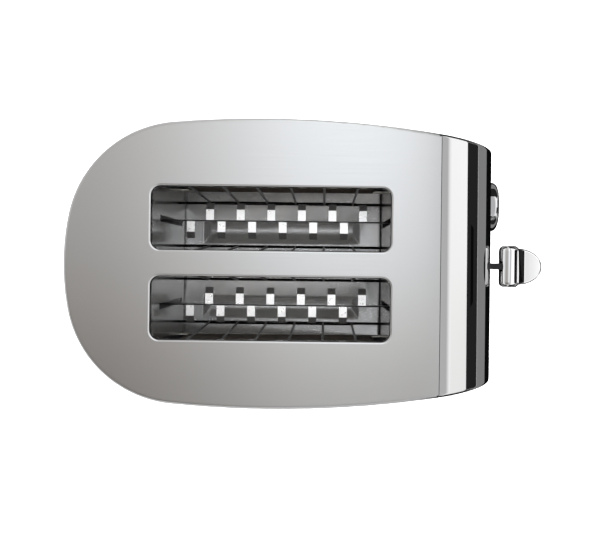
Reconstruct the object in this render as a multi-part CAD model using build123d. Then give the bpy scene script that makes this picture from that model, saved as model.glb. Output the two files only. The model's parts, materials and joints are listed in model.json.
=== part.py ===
from build123d import *
import math
import os

os.makedirs("parts", exist_ok=True)

# A two-slot toaster with a D-shaped plan: a rounded back end at -X and a control end at +X.
# Millimetres, +Z is up. The pieces are drawn about the middle of the body, then moved along X
# so that the origin is on the counter under the middle of the whole length, lever included.
# Left and right are those of a person who faces the controls, so right is +Y.

# Body
body_length = 263.0
body_width = 175.2
top_z = 190.0
widest_x = -7.7
nose_radius = 151.0
shoulder_radius = 70.0
side_radius = 663.0
roll_radius = 36.0
edge_round = 2.4
sheet = 0.8
seam_gap = 0.35
cap_lip = 4.0
joggle = 4.0
touch_clearance = 0.3
running_clearance = 0.06

# Base and feet
foot_height = 5.0
foot_radius = 9.0
foot_stem_radius = 3.0
foot_round = 1.5
rear_foot_x = -88.0
rear_foot_y = 48.0
front_foot_x = 104.0
front_foot_y = 54.0
plinth_height = 9.0
plinth_inset = 2.0
base_wall = 2.4
base_floor = 3.0
collar_height = 10.0
screw_head_radius = 3.0
screw_head_height = 1.8
screw_radius = 1.4
screw_length = 7.0
screw_slot_width = 1.0
screw_slot_depth = 0.8
screw_slot_length = 4.6

# Bread slots and oven
slot_length = 144.0
slot_width = 38.0
slot_pitch = 54.2
slot_x = -6.5
slot_corner = 5.5
slot_lip_depth = 4.8
slot_lip_round = 1.5
oven_rear_setback = 5.8
oven_front_setback = 4.2
heater_pitch = 55.2
oven_plate_half_width = 66.0
oven_plate_foot = 10.0
reflector_y = 62.0
reflector_thickness = 0.6
reflector_bottom_z = 34.0
reflector_below_top = 8.0

# Heater boards
board_thickness = 0.8
board_bottom_z = 36.0
board_below_top = 18.0
board_rail = 12.0
board_end_gap = 9.0
winding_wire = 0.9
winding_loops = 9
winding_rise = 11.5
winding_gap = 0.12

# Wire guards
guard_wires = 6
guard_pitch = 20.9
guard_x = -6.2
guard_wire_radius = 0.8
guard_rod_radius = 1.0
guard_outer_foot = 16.8
guard_inner_foot = 14.9
guard_head_offset = 20.5
guard_foot_z = 68.0
guard_head_below_top = 12.0
guard_rod_spacing = 7.0

# Bread racks and their carriage
rack_top_z = 101.0
rack_strip_height = 9.0
rack_sheet = 0.8
rack_travel = 50.0
rack_x = -8.0
rack_offset = 2.4
rack_tabs = 6
rack_tab_pitch = 21.5
rack_tab_shift = 6.7
rack_tab_width = 5.5
rack_tab_flat = 7.9
rack_tab_reach = 12.4
rack_tab_drop = 2.6
rack_slot_width = 4.4
rack_slot_top_z = 131.0
rack_end_gap = 6.0
link_thickness = 1.6
link_overhang = 4.0
carriage_gap = 7.0
carriage_thickness = 1.6
carriage_below = 8.0
carriage_above = 11.0
bush_half_width = 7.0
bush_length = 20.0
bush_bottom_z = 96.0
rod_radius = 2.5
rod_below_top = 23.0
rod_boss_radius = 8.0
rod_boss_z = 20.0
rod_bracket_thickness = 2.0
rod_bracket_half_width = 10.0
rod_bracket_flange = 10.0
rod_bracket_rim = 3.0
rod_end = 1.0
spring_radius = 4.9
spring_wire = 1.2
spring_turns = 11

# Lever
lever_below_top = 34.5
lever_gap = 5.8
barrel_radius = 6.45
barrel_length = 26.6
barrel_round = 3.4
paddle_width = 23.2
paddle_length = 15.3
paddle_thickness = 4.6
paddle_round = 1.4
paddle_neck = 1.0
paddle_root_height = 4.6
paddle_root_flat = 1.3
paddle_ramp = 3.3
paddle_root_width = 21.4
stem_thickness = 3.8
stem_height = 9.0
arm_height = 12.0
arm_reach = 18.9
lever_slot_width = 6.4
lever_slot_margin = 2.5
stem_grip = 2.0
liner_thickness = 2.0
liner_border = 5.0
liner_slot_width = 5.6

# Latch
latch_from_front = 33.5
latch_y = -24.0
core_width = 9.0
core_top_z = 46.0
coil_wall = 4.5
coil_height = 14.0
latch_base_height = 6.0
keeper_thickness = 2.0
keeper_gap = 0.4
keeper_border = 1.0
coil_round = 3.0

# Controls
board_x = 109.0
control_board_thickness = 1.6
control_board_before_knob = 25.5
control_board_after_knob = 26.5
control_board_top_z = 146.0
post_width = 7.0
knob_from_side = 47.3
knob_z = 118.0
knob_radius = 16.6
knob_length = 11.0
knob_crown = 1.0
knob_gap = 0.6
knob_bevel = 0.6
knob_round = 3.4
pointer_width = 1.2
pointer_start = 7.5
pointer_end = 12.5
knob_pocket_radius = 9.0
knob_pocket_depth = 3.4
knob_wall_behind = 2.0
shaft_radius = 3.0
pot_size = 17.0
pot_depth = 9.0
pot_thread_radius = 4.0
pot_nut_radius = 6.5
pot_nut_thickness = 2.0
button_z = 72.0
button_radius = 7.0
button_stand_out = 3.2
button_travel = 2.5
button_cap = 6.0
button_stem_radius = 2.5
button_guide_wall = 2.0
button_guide_depth = 10.0
button_round = 0.9
switch_size = 8.0
switch_depth = 4.0
plunger_radius = 1.6
plunger_height = 0.5

# Crumb tray
tray_half_width = 57.0
tray_z = 21.8
tray_sheet = 0.7
tray_rim = 6.0
tray_front_gap = 1.0
tray_side_gap = 0.8
trough_x = -8.4
trough_length = 124.6
trough_width = 19.0
trough_shift = 5.6
trough_floor_length = 112.0
trough_floor_width = 7.5
trough_floor_shift = 3.2
trough_depth = 4.0
rail_height_gap = 0.3
rail_width = 3.0
handle_depth = 11.0
handle_top_z = 28.4
handle_gap = 0.6
handle_scoop_radius = 7.0
handle_scoop_half_width = 24.0
tray_opening_gap = 1.2

# Mains inlet and wiring
inlet_angle = 240.0
inlet_z = 26.0
inlet_bore = 3.6
inlet_neck = 5.5
inlet_flange = 7.5
inlet_flange_thickness = 1.8
inlet_depth = 8.0
terminal_length = 26.0
terminal_width = 11.0
terminal_height = 18.0
terminal_x = -66.0
terminal_from_side = 17.3
terminal_wells = 3
well_radius = 2.4
well_depth = 5.0
lead_radius = 1.2
lead_bend = 8.0
lead_spacing = 3.4
lead_lift = 2.0
relay_size = (15.0, 14.0, 24.0)
relay_place = (6.0, 36.0)
transformer_size = (18.0, 22.0, 24.0)
transformer_place = (26.0, 34.0)
capacitor_radius = 4.5
capacitor_height = 14.0
capacitor_places = (12.0, 30.0)
capacitor_z = 88.0
chip_size = (3.0, 20.0, 8.0)
chip_place = (14.0, 120.0)

# Places worked out from the sizes above
front_x = body_length / 2
crease_x = front_x - roll_radius
shell_z = foot_height + plinth_height
floor_z = foot_height + base_floor
slot_low_x = slot_x - slot_length / 2
slot_high_x = slot_x + slot_length / 2
slot_side = slot_pitch / 2
rack_side = slot_side + rack_offset
rear_plate_x = slot_low_x - oven_rear_setback
front_plate_x = slot_high_x + oven_front_setback
plate_foot_z = shell_z + oven_plate_foot
reflector_top_z = top_z - reflector_below_top
board_top_z = top_z - board_below_top
guard_head_z = top_z - guard_head_below_top
opening_half_width = tray_half_width + tray_opening_gap
rod_x = front_plate_x + sheet + carriage_gap + carriage_thickness + bush_half_width
rod_top_z = top_z - rod_below_top
arm_rise_x = rod_x + bush_half_width + arm_reach
latch_x = front_x - latch_from_front
rack_front_x = front_plate_x + sheet + carriage_gap
rack_rear_x = rear_plate_x - sheet - rack_end_gap
rack_low_z = rack_top_z - rack_strip_height
lever_z = top_z - lever_below_top
stem_low_z = lever_z - stem_height / 2
lever_back_x = front_x + lever_gap
slot_faces_z = (stem_low_z - rack_travel - lever_slot_margin, stem_low_z + stem_height + lever_slot_margin)
lever_tip_x = lever_back_x + 2 * barrel_radius - paddle_neck + paddle_length
middle_x = (lever_tip_x - front_x) / 2
knob_y = body_width / 2 - knob_from_side
control_board_low_y = knob_y - control_board_before_knob
control_board_high_y = knob_y + control_board_after_knob
terminal_y = terminal_from_side - body_width / 2


def block(low, high):
    """A box between two corners."""
    size = [high[i] - low[i] for i in range(3)]
    middle = [(high[i] + low[i]) / 2 for i in range(3)]
    return Pos(*middle) * Box(*size)


def rod(radius, start, end):
    """A round bar between two points."""
    start = Vector(*start)
    end = Vector(*end)
    plane = Plane(origin=start, z_dir=end - start)
    return extrude(plane * Circle(radius), amount=(end - start).length)


def arc_about(centre, radius, start, end):
    """The short arc from start to end about a centre in the XY plane."""
    towards = (start - centre) + (end - centre)
    return ThreePointArc(start, centre + towards.normalized() * radius, end)


def outline_centres():
    """Centres of the nose arc, the +Y shoulder arc and the +Y side arc, each tangent to the next."""
    nose = Vector(nose_radius - front_x, 0)
    side = Vector(widest_x, body_width / 2 - side_radius)
    near = nose_radius - shoulder_radius
    far = side_radius - shoulder_radius
    span = (side - nose).length
    along = (near ** 2 - far ** 2 + span ** 2) / (2 * span)
    across = math.sqrt(near ** 2 - along ** 2)
    direction = (side - nose).normalized()
    normal = Vector(direction.Y, -direction.X)
    shoulder = nose + direction * along + normal * across
    return nose, shoulder, side


def half_width_at(x, inset=0.0):
    """Half the body's width at a place along it, where the long side arcs run."""
    side = outline_centres()[2]
    return side.Y + math.sqrt((side_radius - inset) ** 2 - (x - side.X) ** 2)


def outline(inset):
    """The plan of the body, drawn in by inset all round."""
    nose, shoulder, side = outline_centres()
    nose_r = nose_radius - inset
    shoulder_r = shoulder_radius - inset
    side_r = side_radius - inset
    corner_x = front_x - inset
    corner = Vector(corner_x, half_width_at(corner_x, inset))
    join_side = side + (shoulder - side).normalized() * side_r
    join_nose = nose + (shoulder - nose).normalized() * nose_r
    flip = Vector(1, -1)

    def mirrored(point):
        return Vector(point.X * flip.X, point.Y * flip.Y)

    edges = Line(mirrored(corner), corner)
    edges += arc_about(side, side_r, corner, join_side)
    edges += arc_about(shoulder, shoulder_r, join_side, join_nose)
    edges += ThreePointArc(join_nose, Vector(inset - front_x, 0), mirrored(join_nose))
    edges += arc_about(mirrored(shoulder), shoulder_r, mirrored(join_nose), mirrored(join_side))
    edges += arc_about(mirrored(side), side_r, mirrored(join_side), mirrored(corner))
    return make_face(edges)


def slab(inset, low_z, height):
    """The body's plan, drawn in by inset, as an upright slab."""
    return Pos(0, 0, low_z) * extrude(outline(inset), amount=height)


def under_profile(inset):
    """Everything under the side view of the body, drawn in by inset, with the rolled front."""
    end_x = front_x - inset
    high_z = top_z - inset
    radius = roll_radius - inset
    back_x = -body_length
    half = body_width
    bend = radius * (1 - math.sqrt(0.5))
    edges = Line((back_x, 0, 0), (end_x, 0, 0))
    edges += Line((end_x, 0, 0), (end_x, 0, high_z - radius))
    edges += ThreePointArc(
        (end_x, 0, high_z - radius), (end_x - bend, 0, high_z - bend), (end_x - radius, 0, high_z)
    )
    edges += Line((end_x - radius, 0, high_z), (back_x, 0, high_z))
    edges += Line((back_x, 0, high_z), (back_x, 0, 0))
    return extrude(make_face(edges), amount=half, both=True)


def body_form(inset):
    """The body as a solid form, drawn in by inset, with rounded edges, made as one half and its mirror."""
    form = slab(inset, shell_z, top_z - shell_z) & under_profile(inset)
    form &= block((-body_length, 0, 0), (body_length, body_width, top_z))
    beside = half_width_at(front_x) / 2

    def is_rim(edge):
        """The edges that bound the top, the roll and the front face, not the joins within the wall."""
        middle = edge @ 0.5
        if edge.bounding_box().max.Z < shell_z + 1 or middle.Y < 0.01:
            return False
        if middle.Z > top_z - inset - 0.01 and middle.X < crease_x - 0.01:
            return True
        return middle.X > crease_x - 0.01 and abs(middle.Y) > beside

    half = fillet(form.edges().filter_by(is_rim), edge_round - inset)
    return half + mirror(half, Plane.XZ)


FORM_OUTER = body_form(0)
FORM_INNER = body_form(sheet)


def slot_centres():
    """The two bread slots, left then right."""
    return [Vector(slot_x, -slot_side), Vector(slot_x, slot_side)]


def slot_column(centre, grow, low_z, high_z):
    """An upright column on a bread slot's outline, grown by a little."""
    face = RectangleRounded(slot_length + 2 * grow, slot_width + 2 * grow, slot_corner + grow)
    return Pos(centre.X, centre.Y, low_z) * extrude(face, amount=high_z - low_z)


def make_body_wrap():
    """The wall round the sides and back, with a joggled edge under the top and the front."""
    skin = FORM_OUTER - FORM_INNER
    wall = skin & under_profile(cap_lip + seam_gap)
    lining = slab(sheet, shell_z, top_z - shell_z) - slab(2 * sheet, shell_z, top_z - shell_z)
    edge = lining & (under_profile(cap_lip + seam_gap - joggle / 2) - under_profile(cap_lip + joggle))
    edge &= under_profile(edge_round)
    edge -= block((-front_x, -body_width, 0), (front_x, body_width, shell_z + collar_height + touch_clearance))
    wrap = wall + edge
    wrap -= tray_opening(0, handle_top_z + handle_gap)
    return wrap - inlet_column(inlet_neck)


def tray_opening(low_z, high_z):
    """The space at the back that the crumb tray slides out through."""
    return block((-front_x - 1, -opening_half_width, low_z), (-front_x / 2, opening_half_width, high_z))


def inlet_direction():
    """The way that the mains inlet points, square to the shoulder."""
    angle = math.radians(inlet_angle)
    return Vector(math.cos(angle), math.sin(angle))


def inlet_column(radius):
    """A round column along the mains inlet, through the wall both ways."""
    reach = inlet_direction() * 2 * inlet_depth
    return rod(radius, inlet_place() - reach, inlet_place() + reach)


def inlet_place():
    """Where the mains lead enters, on the outside of the left shoulder."""
    shoulder = outline_centres()[1]
    out = inlet_direction() * shoulder_radius
    return Vector(shoulder.X + out.X, out.Y - shoulder.Y, inlet_z)


def make_top_panel():
    """The flat top with its turned-down rim, two bread slots with lips, and a tongue for the front."""
    skin = (FORM_OUTER - FORM_INNER) - under_profile(cap_lip)
    panel = skin & block((-front_x - 1, -body_width, 0), (crease_x - seam_gap / 2, body_width, top_z + 1))
    tongue_half = half_width_at(front_x) - 3 * cap_lip
    tongue_low = (crease_x - 2 * joggle, -tongue_half, top_z - 3 * sheet)
    tongue = block(tongue_low, (crease_x + joggle, tongue_half, top_z - sheet))
    panel += tongue & (under_profile(sheet) - under_profile(2 * sheet))
    lip_low_z = top_z - slot_lip_depth
    for centre in slot_centres():
        panel += slot_column(centre, sheet, lip_low_z, top_z)
    for centre in slot_centres():
        panel -= slot_column(centre, 0, lip_low_z - 1, top_z + 1)
    rims = panel.edges().filter_by(is_slot_rim)
    return fillet(rims, slot_lip_round)


def is_slot_rim(edge):
    """The upper edges of the bread slots."""
    middle = edge @ 0.5
    inside_x = abs(middle.X - slot_x) < slot_length / 2 + 0.01
    inside_y = abs(abs(middle.Y) - slot_side) < slot_width / 2 + 0.01
    return abs(middle.Z - top_z) < 0.01 and inside_x and inside_y


def make_front_fascia():
    """The polished front: a roll off the top, a flat face, and holes for the lever and controls."""
    skin = (FORM_OUTER - FORM_INNER) - under_profile(cap_lip)
    fascia = skin & block((crease_x + seam_gap / 2, -body_width, 0), (front_x + 1, body_width, top_z + 1))
    fascia -= lever_slot_column(lever_slot_width)
    fascia -= control_rod(pot_thread_radius + running_clearance, knob_z, board_x, front_x + 2)
    return fascia - control_rod(button_radius + touch_clearance, button_z, board_x, front_x + 2)


def control_rod(radius, z, low_x, high_x):
    """A round bar square to the front, on the line of the browning knob and the stop button."""
    return rod(radius, (low_x, knob_y, z), (high_x, knob_y, z))


def lever_slot_column(width):
    """The upright slot that the lever travels in, with round ends, run through the front."""
    low_z, high_z = slot_faces_z
    middle = (low_z + high_z) / 2
    face = Plane.YZ * RectangleRounded(width, high_z - low_z, width / 2 - 0.01)
    return Pos(front_x - roll_radius / 3, 0, middle) * extrude(face, amount=roll_radius)


def make_lever_slot_liner():
    """A plastic border behind the lever slot that covers the sheet's cut edge."""
    low_z, high_z = slot_faces_z
    half = lever_slot_width / 2 + liner_border
    plate = block(
        (front_x - sheet - liner_thickness, -half, low_z - liner_border),
        (front_x - sheet, half, high_z + liner_border),
    )
    return (plate & FORM_INNER) - lever_slot_column(liner_slot_width)


def make_base_pan():
    """The moulded base: a plinth, a collar inside the steel wall, rails, bosses and posts."""
    plinth = slab(plinth_inset, foot_height, plinth_height)
    collar = slab(sheet + running_clearance, shell_z, collar_height) & body_form(sheet + running_clearance)
    pan = plinth + collar
    pan -= slab(plinth_inset + base_wall, floor_z, plinth_height + collar_height)
    pan -= tray_opening(shell_z, shell_z + collar_height)
    room = slab(plinth_inset + base_wall, foot_height, top_z)
    clear_of_handle = slab(handle_depth + handle_gap, foot_height, top_z)
    rail_top_z = tray_z - rail_height_gap
    guide_top_z = tray_z + tray_rim
    rail_low_x = rear_plate_x - 2 * handle_depth
    for side in (-1, 1):
        inner = tray_half_width - rail_width
        guide = tray_half_width + tray_side_gap
        outer = guide + rail_width
        rail = mirrored_block(side, (rail_low_x, inner, floor_z), (front_plate_x, outer, rail_top_z))
        rail += mirrored_block(side, (rail_low_x, guide, floor_z), (front_plate_x, outer, guide_top_z))
        pan += rail & clear_of_handle
        for plate_x in (rear_plate_x - sheet, front_plate_x):
            low = (plate_x - post_width / 2, outer, floor_z)
            high = (plate_x + post_width / 2, oven_plate_half_width, plate_foot_z)
            pan += mirrored_block(side, low, high)
    pan += rod(rod_boss_radius, (rod_x, 0, floor_z), (rod_x, 0, rod_boss_z))
    pan += latch_block(core_width / 2 + coil_wall, floor_z, shell_z + latch_base_height)
    for y in (control_board_low_y, control_board_high_y - post_width):
        pan += block((board_x - post_width, y, floor_z), (board_x + post_width, y + post_width, plate_foot_z))
    low, high = terminal_corners()
    pan += block((low[0], low[1], floor_z), (high[0], high[1], low[2]))
    pan &= room + plinth + collar
    for x, y in foot_places():
        pan -= rod(foot_stem_radius, (x, y, foot_height), (x, y, floor_z))
    for x, y in screw_places():
        head_top_z = foot_height + screw_head_height
        pan -= rod(screw_head_radius + running_clearance, (x, y, foot_height), (x, y, head_top_z))
        pan -= rod(screw_radius, (x, y, foot_height), (x, y, foot_height + screw_length))
    return pan - inlet_column(inlet_neck + touch_clearance)


def latch_block(half, low_z, high_z):
    """An upright square block on the axis of the holding magnet."""
    return block((latch_x - half, latch_y - half, low_z), (latch_x + half, latch_y + half, high_z))


def mirrored_block(side, low, high):
    """A box given for the +Y side, on the side asked for."""
    if side > 0:
        return block(low, high)
    return block((low[0], -high[1], low[2]), (high[0], -low[1], high[2]))


def foot_places():
    """The four feet."""
    corners = ((rear_foot_x, rear_foot_y), (front_foot_x, front_foot_y))
    return [(x, side * y) for x, y in corners for side in (-1, 1)]


def screw_places():
    """Screws under the four oven plate posts and the two board posts."""
    post_y = (tray_half_width + tray_side_gap + rail_width + oven_plate_half_width) / 2
    places = [(x, side * post_y) for x in (rear_plate_x - sheet, front_plate_x) for side in (-1, 1)]
    for y in (control_board_low_y, control_board_high_y - post_width):
        places.append((board_x + control_board_thickness / 2, y + post_width / 2))
    return places


def make_rubber_feet():
    """Four turned rubber feet with stems pressed into the base."""
    feet = []
    for x, y in foot_places():
        pad = rod(foot_radius, (x, y, 0), (x, y, foot_height))
        pad = fillet(pad.edges().filter_by(GeomType.CIRCLE).sort_by(Axis.Z)[0], foot_round)
        feet.append(pad + rod(foot_stem_radius, (x, y, foot_height), (x, y, floor_z)))
    return Compound(children=feet)


def make_base_screws():
    """Pan head screws that hold the oven and the control board to the base."""
    screws = []
    for x, y in screw_places():
        screw = rod(screw_head_radius, (x, y, foot_height), (x, y, foot_height + screw_head_height))
        screw += rod(screw_radius, (x, y, foot_height), (x, y, foot_height + screw_length))
        for size in ((screw_slot_length, screw_slot_width), (screw_slot_width, screw_slot_length)):
            screw -= Pos(x, y, foot_height) * Box(size[0], size[1], 2 * screw_slot_depth)
        screws.append(screw)
    return Compound(children=screws)


def make_oven_plate(low_x):
    """An end wall of the oven with two upright slots for the racks and holes for the guard pivots."""
    half = oven_plate_half_width
    plate = block((low_x, -half, plate_foot_z), (low_x + sheet, half, top_z - sheet))
    inner = tray_half_width + tray_side_gap + rail_width + touch_clearance
    plate -= block((low_x - 1, -inner, 0), (low_x + 2, inner, tray_z + tray_rim + 3))
    slot_low_z = rack_low_z - rack_travel - 3
    for side in (-1, 1):
        low_y = side * rack_side - rack_slot_width / 2
        plate -= block((low_x - 1, low_y, slot_low_z), (low_x + 2, low_y + rack_slot_width, rack_slot_top_z))
    for y in guard_foot_places():
        hole = guard_rod_radius + running_clearance
        plate -= rod(hole, (low_x - 1, y, guard_foot_z), (low_x + 2, y, guard_foot_z))
    return plate


def guard_foot_places():
    """Where the four guards pivot, from left to right."""
    outer = slot_side + guard_outer_foot
    inner = slot_side - guard_inner_foot
    return [-outer, -inner, inner, outer]


def make_reflector(side):
    """The bright sheet behind an outer heater."""
    low = (rear_plate_x, reflector_y, reflector_bottom_z)
    return mirrored_block(side, low, (front_plate_x, reflector_y + reflector_thickness, reflector_top_z))


def make_heater_board(y):
    """A mica board, waisted where the wire is wound, that reaches both end walls."""
    half = board_thickness / 2
    board = block((rear_plate_x, y - half, board_bottom_z), (front_plate_x, y + half, board_top_z))
    for low_x, high_x in (
        (rear_plate_x, rear_plate_x + board_end_gap),
        (front_plate_x - board_end_gap, front_plate_x),
    ):
        board -= block((low_x, y - 1, board_bottom_z + board_rail), (high_x, y + 1, board_top_z - board_rail))
    return board


def make_heater_winding(y):
    """One unbroken resistance wire wound round the waist of a board."""
    offset = board_thickness / 2 + winding_gap + winding_wire / 2
    low_x = rear_plate_x + board_end_gap - offset
    high_x = front_plate_x - board_end_gap + offset
    low_z = board_bottom_z + board_rail + winding_wire * 2
    corner = offset * 0.9
    points = []
    for loop in range(winding_loops):
        z = low_z + loop * winding_rise
        points.append((low_x, y - offset, z))
        points.append((high_x, y - offset, z))
        points.append((high_x, y + offset, z + winding_rise / 4))
        points.append((low_x, y + offset, z + winding_rise * 3 / 4))
    points = points[1:-1]
    points.insert(0, (low_x + corner * 2, y - offset, low_z))
    points.append((low_x + corner * 2, y + offset, points[-1][2] + winding_rise / 2))
    path = FilletPolyline(*points, radius=corner)
    start = Plane(origin=path @ 0, z_dir=path % 0)
    return sweep(start * Circle(winding_wire / 2), path=path)


def make_guard(index):
    """A row of upright wires between a pivot rod and a head rod, leaning away from the bread."""
    foot_y = guard_foot_places()[index]
    slot_y = math.copysign(slot_side, foot_y)
    head_y = slot_y + math.copysign(guard_head_offset, foot_y - slot_y)
    pivot_low_x = rear_plate_x - sheet - 1.5
    pivot_high_x = front_plate_x + sheet + 1.5
    guard = rod(guard_rod_radius, (pivot_low_x, foot_y, guard_foot_z), (pivot_high_x, foot_y, guard_foot_z))
    reach = (guard_wires - 1) / 2 * guard_pitch
    ends = (guard_x - reach, guard_x + reach)
    guard += rod(
        guard_wire_radius * 1.1, (ends[0] - 2, head_y, guard_head_z), (ends[1] + 2, head_y, guard_head_z)
    )
    share = guard_rod_spacing / (guard_head_z - guard_foot_z)
    second_y = foot_y + (head_y - foot_y) * share
    second_z = guard_foot_z + guard_rod_spacing
    guard += rod(guard_wire_radius * 0.95, (ends[0] - 2, second_y, second_z), (ends[1] + 2, second_y, second_z))
    for wire in range(guard_wires):
        x = ends[0] + wire * guard_pitch
        guard += rod(guard_wire_radius, (x, foot_y, guard_foot_z), (x, head_y, guard_head_z))
    return guard


def make_bread_rack(rack_y):
    """An upright strip with a row of bent tabs on each side that carries the bread."""
    half = rack_sheet / 2
    rack = block((rack_rear_x, rack_y - half, rack_low_z), (rack_front_x, rack_y + half, rack_top_z))
    low_end_z = rack_top_z - rack_tab_drop
    for side in (-1, 1):
        profile = Polyline(
            (0, 0, rack_top_z),
            (0, side * rack_tab_flat, rack_top_z),
            (0, side * rack_tab_reach, low_end_z),
            (0, side * (rack_tab_reach - 0.4), low_end_z - rack_sheet),
            (0, side * (rack_tab_flat - 0.2), rack_top_z - rack_sheet),
            (0, 0, rack_top_z - rack_sheet),
            close=True,
        )
        for index in range(rack_tabs):
            x = rack_x + (index - (rack_tabs - 1) / 2) * rack_tab_pitch + side * rack_tab_shift
            tab = extrude(make_face(profile), amount=rack_tab_width / 2, both=True)
            rack += Pos(x, rack_y, 0) * tab
    return rack


def make_rear_rack_link():
    """The bar that ties the two racks together behind the oven."""
    half = rack_side + link_overhang
    return block((rack_rear_x - link_thickness, -half, rack_low_z), (rack_rear_x, half, rack_top_z))


def make_carriage_plate():
    """The steel plate in front of the oven that both racks and the sliding bush are fixed to."""
    half = rack_side + link_overhang
    low_z = rack_low_z - carriage_below
    high_z = rack_top_z + carriage_above
    plate = block((rack_front_x, -half, low_z), (rack_front_x + carriage_thickness, half, high_z))
    for side in (-1, 1):
        cut_low = (rack_front_x - 1, bush_half_width + link_overhang, low_z - 1)
        plate -= mirrored_block(side, cut_low, (rack_front_x + 3, half + 1, rack_low_z - 2))
    return plate


def make_carriage_bush():
    """The bush that slides on the guide rod."""
    low = (rod_x - bush_half_width, -bush_half_width, bush_bottom_z)
    high = (rod_x + bush_half_width, bush_half_width, bush_bottom_z + bush_length)
    return block(low, high) - rod(rod_radius + running_clearance, (rod_x, 0, rod_boss_z), (rod_x, 0, rod_top_z))


def make_guide_rod():
    """The polished rod that the carriage slides on."""
    return rod(rod_radius, (rod_x, 0, rod_boss_z), (rod_x, 0, rod_top_z))


def make_rod_bracket():
    """The shelf on the front oven wall that holds the head of the guide rod."""
    low_x = front_plate_x + sheet
    high_z = rod_top_z - rod_end
    low_z = high_z - rod_bracket_thickness
    half = rod_bracket_half_width
    shelf = block((low_x, -half, low_z), (rod_x + rod_radius + rod_bracket_rim, half, high_z))
    shelf += block((low_x, -half, low_z), (low_x + rod_bracket_thickness, half, high_z + rod_bracket_flange))
    return shelf - rod(rod_radius, (rod_x, 0, low_z - 1), (rod_x, 0, high_z + 1))


def coil_path(radius, low_z, high_z, turns):
    """A helix as tangent pairs of arcs, one pair for each quarter turn."""
    steps = turns * 4
    rise = (high_z - low_z) / steps
    pitch_angle = math.atan2(rise, radius * math.pi / 2)

    def place(step):
        angle = step * math.pi / 2
        return Vector(radius * math.cos(angle), radius * math.sin(angle), low_z + rise * step)

    def heading(step):
        angle = step * math.pi / 2
        flat = math.cos(pitch_angle)
        return Vector(-math.sin(angle) * flat, math.cos(angle) * flat, math.sin(pitch_angle))

    edges = []
    for step in range(steps):
        start, end = place(step), place(step + 1)
        leave, arrive = heading(step), heading(step + 1)
        chord = end - start
        total = leave + arrive
        a = total.dot(total) - 4
        b = -2 * chord.dot(total)
        c = chord.dot(chord)
        reach = (-b - math.sqrt(b * b - 4 * a * c)) / (2 * a)
        if reach < 0:
            reach = (-b + math.sqrt(b * b - 4 * a * c)) / (2 * a)
        middle = (start + leave * reach + end - arrive * reach) * 0.5
        edges.append(Edge.make_tangent_arc(start, leave, middle))
        edges.append(Edge.make_tangent_arc(end, arrive * -1, middle))
    return Wire(edges), heading(0), place(0)


def make_lift_spring():
    """The spring round the guide rod that lifts the carriage, between the boss and the bush."""
    low_z = rod_boss_z + spring_wire / 2
    high_z = bush_bottom_z - spring_wire / 2
    path, heading, start = coil_path(spring_radius, low_z, high_z, spring_turns)
    coil = sweep(Plane(origin=start, z_dir=heading) * Circle(spring_wire / 2), path=path)
    pitch = (high_z - low_z) / spring_turns
    print("lift spring, least gap between turns:", round(pitch - spring_wire, 3), "mm")
    return Pos(rod_x, 0, 0) * coil


def make_lever_arm():
    """The cranked arm from the bush out through the slot."""
    half = stem_thickness / 2
    low_z = bush_bottom_z + bush_length / 2 - arm_height / 2
    high_z = stem_low_z + stem_height
    riser_x = arm_rise_x - arm_height
    arm = block((rod_x + bush_half_width, -half, low_z), (arm_rise_x, half, low_z + arm_height))
    arm += block((riser_x, -half, low_z), (arm_rise_x, half, high_z))
    arm += block((riser_x, -half, stem_low_z), (lever_back_x + stem_grip, half, high_z))
    corners = arm.edges().filter_by(Axis.Y).filter_by(lambda edge: abs((edge @ 0.5).X - arm_rise_x) < 0.01)
    return fillet(corners.sort_by(Axis.Z)[:1], arm_height / 3)


def make_lever_knob():
    """The chromed lever knob: a cross barrel with round ends and a flat thumb paddle."""
    centre_x = lever_back_x + barrel_radius
    half = barrel_length / 2
    barrel = rod(barrel_radius, (centre_x, -half, lever_z), (centre_x, half, lever_z))
    barrel = fillet(barrel.edges().filter_by(GeomType.CIRCLE), barrel_round)
    neck_x = centre_x + barrel_radius - paddle_neck
    low_z = lever_z - paddle_thickness / 2
    plan = Pos(neck_x, 0) * Ellipse(paddle_length, paddle_width / 2)
    plan &= Pos(neck_x + paddle_length, 0) * Rectangle(2 * paddle_length, paddle_width)
    paddle = Pos(0, 0, low_z) * extrude(plan, amount=paddle_thickness)
    rims = paddle.edges().filter_by(lambda edge: (edge @ 0.5).X > neck_x + 1 and edge.length > paddle_thickness)
    paddle = fillet(rims, paddle_round)
    neck = block((centre_x, -paddle_width / 2, low_z), (neck_x, paddle_width / 2, low_z + paddle_thickness))
    knob = barrel + (paddle + neck)
    knob += make_paddle_root()
    socket_low = (lever_back_x - 1, -stem_thickness / 2, stem_low_z)
    return knob - block(socket_low, (lever_back_x + stem_grip, stem_thickness / 2, stem_low_z + stem_height))


def make_paddle_root():
    """The thick root of the paddle, which slopes down from the barrel to the flat on both faces."""
    edge_x = math.sqrt(barrel_radius ** 2 - paddle_root_height ** 2)
    upper = [
        (0, paddle_root_height),
        (edge_x + paddle_root_flat, paddle_root_height),
        (edge_x + paddle_root_flat + paddle_ramp, paddle_thickness / 2),
    ]
    lower = [(x, -z) for x, z in reversed(upper)]
    face = Plane.XZ * make_face(Polyline(*upper, *lower, close=True))
    return Pos(lever_back_x + barrel_radius, 0, lever_z) * extrude(face, amount=paddle_root_width / 2, both=True)


def make_latch_core():
    """The iron core of the holding magnet."""
    return latch_block(core_width / 2, shell_z + latch_base_height, core_top_z)


def make_latch_coil():
    """The coil round the magnet's core."""
    low_z = shell_z + latch_base_height
    coil = latch_block(core_width / 2 + coil_wall, low_z, low_z + coil_height)
    coil = fillet(coil.edges().filter_by(Axis.Z), coil_round)
    return coil - latch_block(core_width / 2, low_z - 1, low_z + coil_height + 1)


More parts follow.
